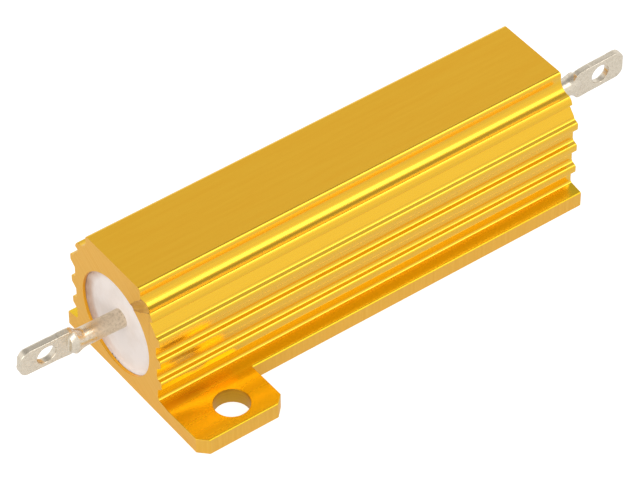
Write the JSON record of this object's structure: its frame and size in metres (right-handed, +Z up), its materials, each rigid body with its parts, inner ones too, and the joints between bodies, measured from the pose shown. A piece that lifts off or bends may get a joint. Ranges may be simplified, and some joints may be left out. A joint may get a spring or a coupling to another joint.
{
  "type": "aluminium housed power resistor",
  "caption": "Wirewound power resistor in a finned, gold anodised aluminium housing with two diagonal mounting feet and a solder lug at each end.",
  "frame": {"origin": "centre of the mounting base, at the base's own height", "axes": "+X along the body towards the right terminal, +Y across the body, +Z up from the mounting base"},
  "size_m": [0.0722, 0.0276, 0.0148],
  "materials": {
    "housing": "gold anodised",
    "core": "unglazed ceramic",
    "winding": "oxidised resistance wire",
    "caps": "plated",
    "potting": "cured white compound",
    "terminals": "tinned"
  },
  "bodies": {
    "root": {"housing": "housing", "core": "core", "winding": "winding", "cap_left": "caps", "cap_right": "caps", "potting": "potting", "terminal_left": "terminals", "terminal_right": "terminals"}
  },
  "joints": []
}
